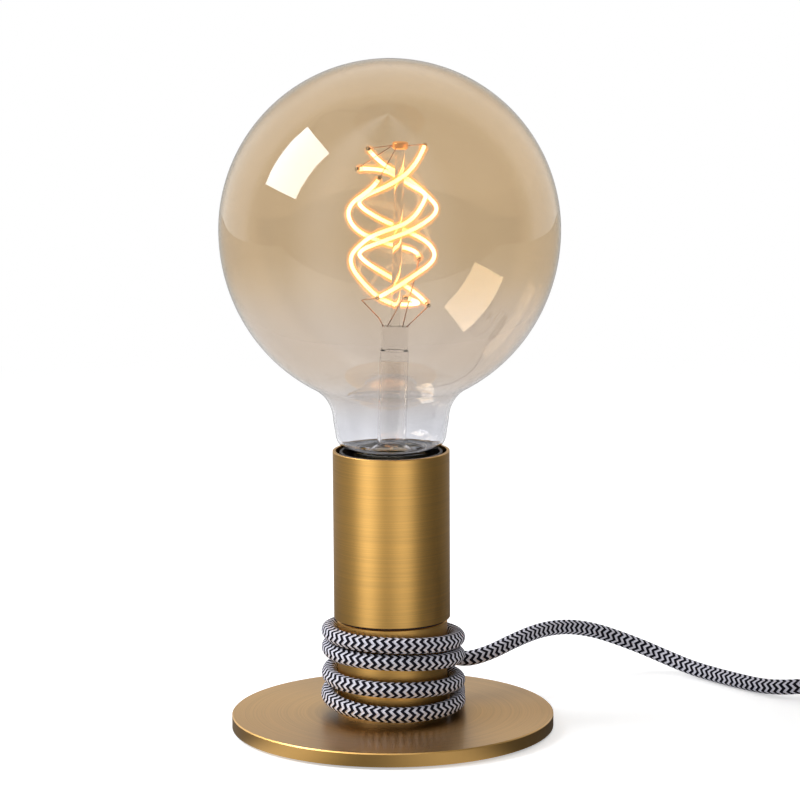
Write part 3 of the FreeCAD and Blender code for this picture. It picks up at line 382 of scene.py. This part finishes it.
def grow_tube(form, places, radius, sides=24):
    """Adds a tube round a line, with a UV map of turns round it and metres along it."""
    uv = form.loops.layers.uv.verify()
    way = (places[1] - places[0]).normalized()
    side = way.orthogonal().normalized()
    ring = bmesh.ops.create_circle(form, segments=sides, radius=radius)["verts"]
    start = list(ring)
    walked = 0.0
    for k, place in enumerate(places):
        ahead = places[min(k + 1, len(places) - 1)] - places[max(k - 1, 0)]
        turn = way.rotation_difference(ahead.normalized())
        way = ahead.normalized()
        side = (turn @ side).normalized()
        if k:
            before, walked = walked, walked + (place - places[k - 1]).length
            edges = [form.edges.get((a, b)) for a, b in zip(ring, ring[1:] + ring[:1])]
            grown = bmesh.ops.extrude_edge_only(form, edges=edges)["geom"]
            fresh = {part for part in grown if isinstance(part, bmesh.types.BMVert)}
            follow = []
            for vertex in ring:
                others = [edge.other_vert(vertex) for edge in vertex.link_edges]
                follow += [other for other in others if other in fresh]
            for index, (old, new) in enumerate(zip(ring, follow)):
                for face in new.link_faces:
                    for loop in face.loops:
                        if loop.vert is old or loop.vert is new:
                            seam = index == 0 and follow[-1] in face.verts
                            turned = sides if seam else index
                            loop[uv].uv = (turned / sides, before if loop.vert is old else walked)
            ring = follow
        up = way.cross(side)
        for index, vertex in enumerate(ring):
            angle = math.tau * index / sides
            vertex.co = place + (side * math.cos(angle) + up * math.sin(angle)) * radius
    bmesh.ops.contextual_create(form, geom=start)
    bmesh.ops.contextual_create(form, geom=ring)


def tubes(name, lines, radius, sides=24):
    """One piece made of a tube round each of some lines."""
    form = bmesh.new()
    for places in lines:
        grow_tube(form, places, radius, sides)
    bmesh.ops.recalc_face_normals(form, faces=form.faces)
    return as_piece(name, form)


# azimuth, radius and height above the glass shoulder of each strand's control points
STRANDS = [
    [
        (-15, 0.0090, 0.1125),
        (-60, 0.0115, 0.1055),
        (-105, 0.0130, 0.0990),
        (-150, 0.0145, 0.0945),
        (-195, 0.0160, 0.0900),
        (-240, 0.0140, 0.0840),
        (-280, 0.0145, 0.0800),
        (-325, 0.0150, 0.0760),
        (-375, 0.0150, 0.0715),
        (-425, 0.0135, 0.0660),
        (-460, 0.0125, 0.0605),
        (-485, 0.0100, 0.0580),
    ],
    [
        (175, 0.0115, 0.1105),
        (125, 0.0135, 0.1050),
        (75, 0.0135, 0.0990),
        (35, 0.0125, 0.0940),
        (-15, 0.0160, 0.0895),
        (-65, 0.0150, 0.0835),
        (-110, 0.0145, 0.0790),
        (-160, 0.0155, 0.0740),
        (-210, 0.0145, 0.0690),
        (-255, 0.0140, 0.0630),
        (-305, 0.0130, 0.0575),
        (-350, 0.0115, 0.0545),
    ],
    [
        (165, 0.0155, 0.1030),
        (115, 0.0140, 0.1030),
        (70, 0.0115, 0.0970),
        (25, 0.0105, 0.0950),
        (-20, 0.0105, 0.0935),
        (-70, 0.0140, 0.0860),
        (-115, 0.0150, 0.0820),
        (-150, 0.0135, 0.0785),
        (-185, 0.0190, 0.0695),
        (-225, 0.0130, 0.0570),
        (-260, 0.0120, 0.0525),
        (-305, 0.0105, 0.0530),
        (-360, 0.0095, 0.0550),
        (-420, 0.0080, 0.0575),
    ],
    [
        (245, 0.0175, 0.1015),
        (235, 0.0160, 0.0980),
        (195, 0.0200, 0.0900),
        (155, 0.0180, 0.0800),
        (105, 0.0150, 0.0745),
        (50, 0.0125, 0.0730),
        (-5, 0.0080, 0.0715),
    ],
]
MOUTH_DEPTH = 0.0036
MOUNT_LEAN = math.radians(2.0)
STRAND_RADIUS = 0.00068
STRAND_STEP = 0.0008
HALO_RADIUS = 0.0019
CAP_RADIUS = 0.0008
TOP_CAP = 0.0010
FOOT_CAP = 0.0020
SUPPORT_RADIUS = 0.00014
LEAD_RADIUS = 0.00022
HUB_HEIGHT = 0.1124
HUB_RADIUS = 0.0028
PRESS_HEIGHT = 0.0459
# where each lead enters the glass press, left or right of the rod; the first lead has two bends
PRESS_PLACES = (-0.0043, 0.0043, -0.0028, 0.0028)
LEAD_BENDS = ([(180, 0.0125, 0.0553), (180, 0.0061, 0.0490)], [], [], [])


def standing(azimuth, radius, height):
    """A place in the bulb's crooked mount, by its height above the glass shoulder."""
    angle = math.radians(azimuth)
    upright = Vector((radius * math.cos(angle), radius * math.sin(angle), height + MOUTH_DEPTH))
    return Matrix.Rotation(MOUNT_LEAN, 3, "Y") @ upright + Vector((0, 0, SHOULDER - MOUTH_DEPTH))


def inside_bulb(piece, material, slot, *nodes):
    """Finishes a small piece that stands in the bulb, in place of packed ones."""
    piece.data.materials.append(material)
    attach(piece, "bulb")
    if nodes:
        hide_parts(*nodes)


glow = Finish("glowing strand", Base_Color=(0.9, 0.6, 0.2), Roughness=0.5)
glow.set(Emission_Color=(1.0, 0.84, 0.54), Emission_Strength=4.6)
halo = Finish("glow round a strand", Base_Color=(1.0, 0.5, 0.15), Roughness=1.0)
facing = halo.add("LayerWeight", output="Facing", Blend=0.5)
halo.set(
    Emission_Color=(1.0, 0.42, 0.06),
    Emission_Strength=1.5,
    Alpha=(1 - facing).math("POWER", 2.0) * 0.5,
    Specular_IOR_Level=0.0,
)
wire = Finish("drawn copper wire", Base_Color=(0.74, 0.44, 0.30), Metallic=1.0, Roughness=0.35)

strand_lines = []
for number, rows in enumerate(STRANDS, 1):
    line = even_line(smooth_line([standing(*row) for row in rows]), STRAND_STEP)
    strand_lines.append(line)
    strand = tubes(f"strand_{number}", [line], STRAND_RADIUS, 16)
    inside_bulb(strand, glow.material, "filament_glow", f"filament_strand_{number}")
inside_bulb(tubes("strand_glow", strand_lines, HALO_RADIUS, 16), halo.material, "filament_glow")

caps, supports, leads = [], [], []
hub = standing(0, 0, HUB_HEIGHT)
for line, press_place, bend_rows in zip(strand_lines, PRESS_PLACES, LEAD_BENDS):
    top = line[0] + (line[0] - line[1]).normalized() * TOP_CAP
    foot = line[-1] + (line[-1] - line[-2]).normalized() * FOOT_CAP
    caps += [[line[0], top], [line[-1], foot]]
    rim = Vector((top.x - hub.x, top.y - hub.y, 0)).normalized() * HUB_RADIUS
    supports.append([hub + rim, top])
    bends = [standing(*row) for row in bend_rows]
    leads.append([foot, *bends, standing(0, press_place, PRESS_HEIGHT)])
strand_caps = tubes("strand_caps", caps, CAP_RADIUS, 12)
inside_bulb(strand_caps, rolled.material, "cap_nickel", "filament_end_caps")
support_wires = tubes("support_wires", supports, SUPPORT_RADIUS, 8)
inside_bulb(support_wires, wire.material, "steel", "filament_supports")
feed_wires = tubes("feed_wires", leads, LEAD_RADIUS, 8)
inside_bulb(feed_wires, wire.material, "steel", "lead_wires")

# The puck is no lamp: its orange emission is painted glow, the strands' light painted onto it.
puck = Finish("copper puck, painted glow", Base_Color=(0.90, 0.50, 0.24), Metallic=1.0, Roughness=0.45)
puck.set(Emission_Color=(1.0, 0.50, 0.15), Emission_Strength=0.45)
dress(puck.material, "filament_anchor")

# --- Textile flex --------------------------------------------------------------------------------
# Two cores in a round sheath under a braid of black and pale grey yarn, which runs round it in a
# zigzag. It leaves the stem by a rubber bush, is wound on the stem and runs off to the right.
FLEX_RADIUS = 0.0029
STEP = 0.0013
# azimuth, height and radius of the turns round the stem
WOUND = [
    (-15, 0.0106, 0.0246),
    (-90, 0.01045, 0.0246),
    (-180, 0.0130, 0.0237),
    (-240, 0.0166, 0.0237),
    (-270, 0.0171, 0.0237),
    (-360, 0.0179, 0.0243),
    (-450, 0.01985, 0.0238),
    (-540, 0.0208, 0.0235),
    (-630, 0.0242, 0.0237),
    (-720, 0.0274, 0.0243),
    (-810, 0.0302, 0.0238),
    (-900, 0.0307, 0.0234),
    (-990, 0.0328, 0.0237),
    (-1080, 0.0340, 0.0243),
    (-1170, 0.03665, 0.0239),
    (-1260, 0.0372, 0.0234),
    (-1290, 0.0370, 0.0237),
]


def between(table, at):
    """The values of a table at one place between two of its rows."""
    rows = sorted(table)
    for (low, *first), (high, *second) in zip(rows, rows[1:]):
        if low <= at <= high:
            share = (at - low) / (high - low)
            return [a + (b - a) * share for a, b in zip(first, second)]
    return list(rows[-1][1:])


braid = Finish("zigzag braid", Roughness=0.8, Specular_IOR_Level=0.08)
braid_uv = braid.add("TexCoord", output="UV")
turns = braid.add("SeparateXYZ", output="X", Vector=braid_uv)
metres = braid.add("SeparateXYZ", output="Y", Vector=braid_uv)
ZIGZAGS = 6
PITCH = 0.00266
SWING = 0.00150
fold = abs((turns * ZIGZAGS).part() - 0.5) * 2
along = metres / PITCH + fold * (SWING / PITCH)
stripe = abs(along.part() - 0.5) * 2
fibre_noise = braid.add("TexNoise", Vector=braid.place(), Scale=2600.0, Detail=2.0)
pale = (stripe + fibre_noise * 0.16 - 0.08).step(0.47, 0.62)
yarn = abs((along * 2).part() - 0.5) * 2
braid.set(
    Base_Color=braid.blend(
        pale,
        braid.blend(fibre_noise, (0.002, 0.002, 0.005), (0.010, 0.010, 0.018)),
        braid.blend(fibre_noise, (0.50, 0.49, 0.57), (0.84, 0.83, 0.91)),
    )
)
braid.raise_by((1 - yarn) * 0.7 + (1 - abs(fold - 0.5) * 2) * 0.3, 0.0003)

CORD_OUT = [
    (-0.01032, 0.01855, 0.0106),
    (-0.01098, 0.02612, 0.0106),
    (-0.0079, 0.0338, 0.0100),
    (-0.0018, 0.0392, 0.0092),
    (0.0062, 0.0413, 0.0089),
    (0.0142, 0.0396, 0.0089),
    (0.0206, 0.0345, 0.0090),
    (0.0240, 0.0270, 0.0092),
    (0.0246, 0.0180, 0.0095),
    (0.0242, 0.0090, 0.0099),
    (0.0243, 0.0010, 0.0104),
]
CORD_FREE = [
    (-0.0150, 0.0210, 0.0360),
    (-0.0055, 0.0285, 0.0326),
    (0.0055, 0.0323, 0.0270),
    (0.0165, 0.0324, 0.0204),
    (0.0270, 0.0332, 0.0168),
    (0.0370, 0.0384, 0.0182),
    (0.0475, 0.0486, 0.0210),
    (0.0580, 0.0605, 0.0222),
    (0.0685, 0.0700, 0.0212),
    (0.0790, 0.0768, 0.0182),
    (0.0895, 0.0800, 0.0140),
    (0.1000, 0.0800, 0.0098),
    (0.1095, 0.0766, 0.0062),
    (0.1180, 0.0708, 0.0038),
    (0.1260, 0.0632, 0.0030),
    (0.1340, 0.0536, 0.0030),
    (0.1430, 0.0436, 0.0031),
    (0.1525, 0.0360, 0.0046),
    (0.1630, 0.0330, 0.0064),
    (0.1750, 0.0330, 0.0064),
]
TURN_STEP = 22.5
TURN_POINTS = 57
# control points of a curve of this order lie a little outside the ring that it follows
OUTWARDS = 1 / math.cos(math.radians(TURN_STEP / 2))


def wound_turns():
    """Control points of the turns round the stem, from the lowest to the top one."""
    points = []
    for k in range(TURN_POINTS):
        azimuth = -15 - TURN_STEP * k
        height, radius = between(WOUND, azimuth)
        angle = math.radians(azimuth)
        reach = radius * OUTWARDS
        points.append((reach * math.cos(angle), reach * math.sin(angle), height))
    return points


lamp_line = even_line(smooth_line(CORD_OUT + wound_turns() + CORD_FREE), STEP)
lamp_flex = tubes("flex_lamp_to_switch", [lamp_line], FLEX_RADIUS)
lamp_flex.data.materials.append(braid.material)
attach(lamp_flex, "lamp")
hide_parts("cord_out", "cord_winding", "cord_free")

CORD_TAIL = [
    (0.2290, 0.0330, 0.0064),
    (0.2410, 0.0330, 0.0064),
    (0.2560, 0.0290, 0.0048),
    (0.2640, 0.0160, 0.0036),
    (0.2590, 0.0020, 0.0035),
    (0.2440, -0.0045, 0.0035),
    (0.2260, -0.0046, 0.0035),
    (0.2090, -0.0034, 0.0035),
]
CORD_TO_PLUG = [
    (0.2030, -0.0745, 0.0060),
    (0.2090, -0.0741, 0.0066),
    (0.2140, -0.0740, 0.00685),
    (0.2200, -0.0740, 0.00685),
]
COIL_CENTRE = Vector((0.190, -0.038, 0.0))
COIL = [
    (90, 0.0350, 0.0035),
    (180, 0.03355, 0.0035),
    (270, 0.0321, 0.0035),
    (360, 0.03065, 0.0035),
    (450, 0.0292, 0.0035),
    (540, 0.02819, 0.00572),
    (630, 0.0280, 0.0076),
    (720, 0.02843, 0.00886),
    (810, 0.0292, 0.0093),
    (900, 0.03279, 0.00925),
    (990, 0.0336, 0.0091),
    (1080, 0.03418, 0.0083),
    (1170, 0.0350, 0.0093),
    (1260, 0.0376, 0.0072),
    (1350, 0.0372, 0.0056),
]


def coil_turns():
    """Control points of the put-away turns, two wide and two high."""
    points = []
    for k in range(TURN_POINTS):
        azimuth = 90 + TURN_STEP * k
        radius, height = between(COIL, azimuth)
        angle = math.radians(azimuth)
        spot = COIL_CENTRE + Vector((math.cos(angle), math.sin(angle), 0)) * radius * OUTWARDS
        points.append((spot.x, spot.y, height))
    return points


plug_line = even_line(smooth_line(CORD_TAIL + coil_turns() + CORD_TO_PLUG), STEP)
plug_flex = tubes("flex_switch_to_plug", [plug_line], FLEX_RADIUS)
plug_flex.data.materials.append(braid.material)
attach(plug_flex, "lamp")
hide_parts("cord_tail", "cord_coil", "cord_to_plug")

brown = Finish("brown core", Base_Color=(0.16, 0.06, 0.03), Roughness=0.35)
dress(brown.material, "wire_live")
blue = Finish("blue core", Base_Color=(0.03, 0.10, 0.38), Roughness=0.35)
dress(blue.material, "wire_neutral")

SHEATH = [Vector((-0.008376, -0.003664, 0.0106)), Vector((-0.01032, 0.01855, 0.0106))]
sheath = tubes("sheath_in_stem", [even_line(SHEATH, STEP)], FLEX_RADIUS)
sheath.data.materials.append(braid.material)
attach(sheath, "lamp")
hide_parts("cord_inside")

# --- Inline switch, tie and plug -----------------------------------------------------------------
# Black moulded shells with a glossy rocker, a hook and loop tie round the coil, and a flat two-pin
# plug with a soft ribbed sleeve.
dress(moulding.material, "switch_lower", "switch_upper", "plug_body", "pin_sleeves")
gloss = Finish("glossy rocker", Base_Color=(0.015, 0.015, 0.017), Roughness=0.16)
dress(gloss.material, "switch_rocker")
dress(rubber.material, "plug_relief")
tie = Finish("hook and loop", Base_Color=(0.012, 0.012, 0.012), Roughness=0.95)
dress(tie.material, "coil_tie")
nickel = Finish("nickel plated pin", Base_Color=(0.72, 0.69, 0.62), Metallic=1.0, Roughness=0.2)
dress(nickel.material, "plug_pins")

# --- Table, lights and camera --------------------------------------------------------------------
# A white table top that ends a little in front of the lamp, in a white room, and one large soft
# light high at the left. What the metal mirrors of the room and the table is a ramp by direction.
TABLE = (-1.6, 1.6, -0.37, 2.6)
table_form = bmesh.new()
bmesh.ops.create_grid(table_form, x_segments=1, y_segments=1, size=1.0)
west, east, south, north = TABLE
bmesh.ops.scale(table_form, verts=table_form.verts, vec=((east - west) / 2, (north - south) / 2, 1))
bmesh.ops.translate(
    table_form, verts=table_form.verts, vec=((east + west) / 2, (north + south) / 2, -0.0002)
)
table = as_piece("table_top", table_form, smooth=False)
white = Finish("white table", Base_Color=(0.86, 0.86, 0.86), Roughness=0.6)

# How bright the room looks in the metal, by azimuth: a large pale panel stands in front at the
# left, a weaker one at the right of the camera, and the right-hand side is dark.
ROOM = [
    (-180, 0.45),
    (-128, 0.33),
    (-76, 0.38),
    (-47, 1.90),
    (-13, 0.42),
    (25, 1.35),
    (56, 0.18),
    (92, 0.12),
    (133, 0.20),
    (180, 0.45),
]


def room_level(finish, x, y):
    """The room's level in the direction (x, y) from the lamp, where 0 degrees is the front."""
    azimuth = x.math("ARCTAN2", y * -1) / math.tau + 0.5
    ramp = finish.tree.nodes.new("ShaderNodeValToRGB")
    ramp.color_ramp.interpolation = "EASE"
    stops = ramp.color_ramp.elements
    while len(stops) < len(ROOM):
        stops.new(0.5)
    for stop, (degrees, level) in zip(stops, ROOM):
        stop.position = degrees / 360 + 0.5
        stop.color = (level / 2, level / 2, level / 2, 1.0)
    finish.plug(ramp.inputs[0], azimuth)
    return Signal(ramp.outputs[0]) * 2


def light_path(finish):
    """Rays that see straight on, also through glass, and rays that a surface mirrors."""
    camera_ray = finish.add("LightPath", output="Is Camera Ray")
    through = finish.add("LightPath", output="Is Transmission Ray")
    glossy = finish.add("LightPath", output="Is Glossy Ray")
    straight = (camera_ray + through).math("MINIMUM", 1.0)
    return camera_ray, through, straight, glossy * (1 - straight)


camera_ray, through, straight, mirrored = light_path(white)
white.set(Emission_Color=(1.0, 1.0, 1.0), Emission_Strength=straight * 0.45)
x, y = (white.add("SeparateXYZ", output=axis, Vector=white.place()) for axis in "XY")
reach = (x * x + y * y).math("SQRT")
away = reach.step(0.08, 0.40)
dim = white.add("Emission", Strength=room_level(white, x, y) * (away * 0.55 + 0.45))
lit = Signal(white.shader.outputs[0])
seen = white.either(straight * reach.step(0.35, 0.90), lit, white.add("Emission"))
output = white.tree.nodes["Material Output"]
white.plug(output.inputs["Surface"], white.either(mirrored, seen, dim))
table.data.materials.append(white.material)

room = Finish("studio", "Background", bpy.data.worlds, Color=(1.0, 1.0, 1.0))
bpy.context.scene.world = room.material
direction = room.add("TexCoord", output="Generated")
x, y, z = (room.add("SeparateXYZ", output=axis, Vector=direction) for axis in "XYZ")
camera_ray, through, straight, mirrored = light_path(room)
glossy = room.add("LightPath", output="Is Glossy Ray")
level = camera_ray.math("MAXIMUM", through * y.step(0.10, 0.35))
behind = (1 - abs(x).step(0.30, 0.55)) * (1 - z.step(0.35, 0.60))
pale = y.step(0.25, 0.45) * (1 - behind) * (1 - x.step(0.1, 0.6) * 0.3)
ambient = 0.6 * (1 - straight) * (1 - glossy)
room.set(Strength=level + mirrored * (room_level(room, x, y) * (1 - pale) + pale) + ambient)


def soft_light(name, place, aim, width, height, power, colour):
    """A rectangular soft light that faces a point."""
    lamp = bpy.data.lights.new(name, "AREA")
    lamp.shape = "RECTANGLE"
    lamp.size, lamp.size_y = width, height
    lamp.energy = power
    lamp.color = colour
    light = bpy.data.objects.new(name, lamp)
    light.location = place
    light.rotation_euler = (Vector(aim) - Vector(place)).to_track_quat("-Z", "Y").to_euler()
    bpy.context.scene.collection.objects.link(light)


AIM = (0.0, 0.0, 0.15)
soft_light("softbox left", (-0.97, -0.104, 0.90), AIM, 0.66, 0.69, 14.5, (0.94, 0.97, 1.0))

CAMERA_PLACE = (0.003389, -1.22012, 0.32759)
CAMERA_DOWN = 9.494
CAMERA_ROLL = -0.005975
view = bpy.data.cameras.new("camera")
view.lens = 151.28
view.sensor_width = 36.0
view.clip_start = 0.05
camera = bpy.data.objects.new("camera", view)
tilt = Matrix.Rotation(math.radians(90 - CAMERA_DOWN), 4, "X")
roll = Matrix.Rotation(CAMERA_ROLL, 4, "Z")
camera.matrix_world = Matrix.Translation(CAMERA_PLACE) @ tilt @ roll
bpy.context.scene.collection.objects.link(camera)
bpy.context.scene.camera = camera
bpy.context.scene.view_settings.view_transform = "Standard"
